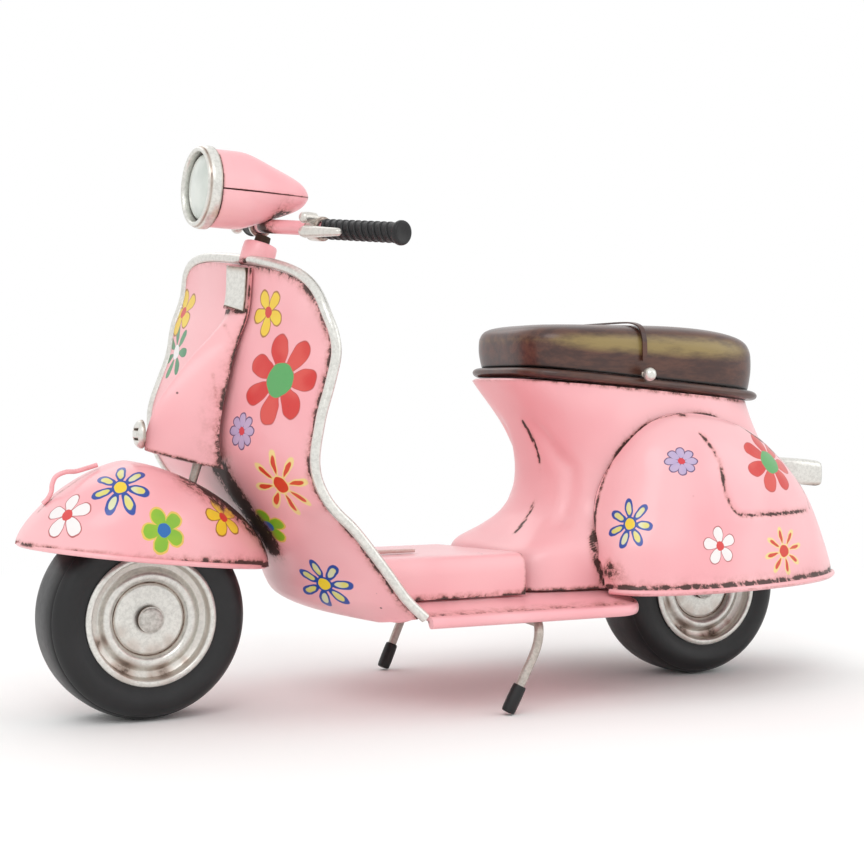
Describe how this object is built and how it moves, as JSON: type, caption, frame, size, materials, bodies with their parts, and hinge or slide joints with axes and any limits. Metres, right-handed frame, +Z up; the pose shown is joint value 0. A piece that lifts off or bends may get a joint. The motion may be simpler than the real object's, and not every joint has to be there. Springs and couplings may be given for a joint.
{
  "type": "tin wind-up motorcycle",
  "caption": "Pink tin display scooter with legshield, turning fork and wheels, side cowls, saddle, fold-away centre stand, hand levers and a clockwork train with a key.",
  "frame": {"origin": "on the ground, under the middle of the whole object's box", "axes": "-X is forward, -Y is the rider's left, +Z is up"},
  "size_m": [0.2772, 0.1075, 0.1656],
  "materials": {
    "pink_tin": "hand-painted pink, worn, brown at the edges",
    "silver": "silver paint, worn and stained",
    "tyre": "black rubber",
    "rubber": "black ribbed rubber",
    "brown_tin": "dark brown paint with olive wear, like leather",
    "steel": "dark plain steel",
    "brass": "plain brass",
    "lens": "painted pale silver-green, not clear"
  },
  "bodies": {
    "chassis": {"legshield": "pink_tin", "legshield_beading": "silver", "steering_head": "pink_tin", "horn_cover": "pink_tin", "shield_badge": "silver", "horn": "silver", "running_board": "pink_tin", "floor_platform": "pink_tin", "runner_left": "silver", "runner_right": "silver", "body_shell": "pink_tin", "cowl_left": "pink_tin", "cowl_right": "pink_tin", "tail_light": "silver", "seat_base": "brown_tin", "seat_cover": "brown_tin", "seat_strap": "brown_tin", "seat_knob_left": "silver", "seat_knob_right": "silver", "stand_bracket": "steel", "motor_plate_inner": "brass", "motor_plate_outer": "brass", "mainspring": "steel"},
    "front_end": {"front_fender": "pink_tin", "fender_crest": "pink_tin", "steering_column": "steel", "fork_arm": "steel", "handlebar": "pink_tin", "grip_left": "rubber", "grip_right": "rubber", "lever_bracket_left": "silver", "lever_bracket_right": "silver", "headlight_upper": "pink_tin", "headlight_lower": "pink_tin", "headlight_ring": "silver", "headlight_lens": "lens"},
    "front_wheel": {"front_tyre": "tyre", "front_wheel_drum": "steel", "front_hubcap_right": "silver", "front_hubcap_left": "silver", "front_dome_nut": "silver", "front_axle": "steel"},
    "left_lever": {"lever_left": "silver"},
    "right_lever": {"lever_right": "silver"},
    "rear_wheel": {"rear_tyre": "tyre", "rear_wheel_drum": "steel", "rear_hubcap_right": "silver", "rear_hubcap_left": "silver", "rear_dome_nut": "silver", "rear_axle": "steel", "axle_pinion": "brass"},
    "middle_gears": {"middle_wheel": "brass", "middle_pinion": "steel", "middle_arbor": "steel"},
    "winding": {"great_wheel": "brass", "winding_arbor": "steel", "winding_key": "brass"},
    "stand": {"centre_stand": "silver", "stand_tip_left": "rubber", "stand_tip_right": "rubber"}
  },
  "joints": [
    {"name": "steering", "type": "hinge", "parent": "chassis", "child": "front_end", "pos_m": [-0.0994, 0, 0.0293], "axis": [0.293, 0, 0.9561], "range_deg": [-35, 35]},
    {"name": "front_wheel_spin", "type": "hinge", "parent": "front_end", "child": "front_wheel", "pos_m": [-0.1035, 0, 0.0293], "axis": [0, 1, 0], "continuous": true},
    {"name": "left_lever_pull", "type": "hinge", "parent": "front_end", "child": "left_lever", "pos_m": [-0.0627, -0.02307, 0.13974], "axis": [0.0055, -0.1031, 0.9947], "range_deg": [0, 8]},
    {"name": "right_lever_pull", "type": "hinge", "parent": "front_end", "child": "right_lever", "pos_m": [-0.06542, 0.02334, 0.14457], "axis": [-0.0055, 0.1031, -0.9947], "range_deg": [0, 8]},
    {"name": "rear_wheel_spin", "type": "hinge", "parent": "chassis", "child": "rear_wheel", "pos_m": [0.085, 0, 0.0293], "axis": [0, 1, 0], "continuous": true},
    {"name": "middle_spin", "type": "hinge", "parent": "chassis", "child": "middle_gears", "pos_m": [0.06944, 0, 0.03865], "axis": [0, 1, 0], "continuous": true},
    {"name": "winding_spin", "type": "hinge", "parent": "chassis", "child": "winding", "pos_m": [0.07952, 0, 0.0561], "axis": [0, 1, 0], "continuous": true},
    {"name": "stand_fold", "type": "hinge", "parent": "chassis", "child": "stand", "pos_m": [0.0035, 0, 0.0264], "axis": [0, -1, 0], "range_deg": [0, 95]}
  ],
  "couplings": [
    {"joint": "middle_spin", "follows": "rear_wheel_spin", "ratio": -0.5},
    {"joint": "winding_spin", "follows": "rear_wheel_spin", "ratio": 0.16667}
  ]
}
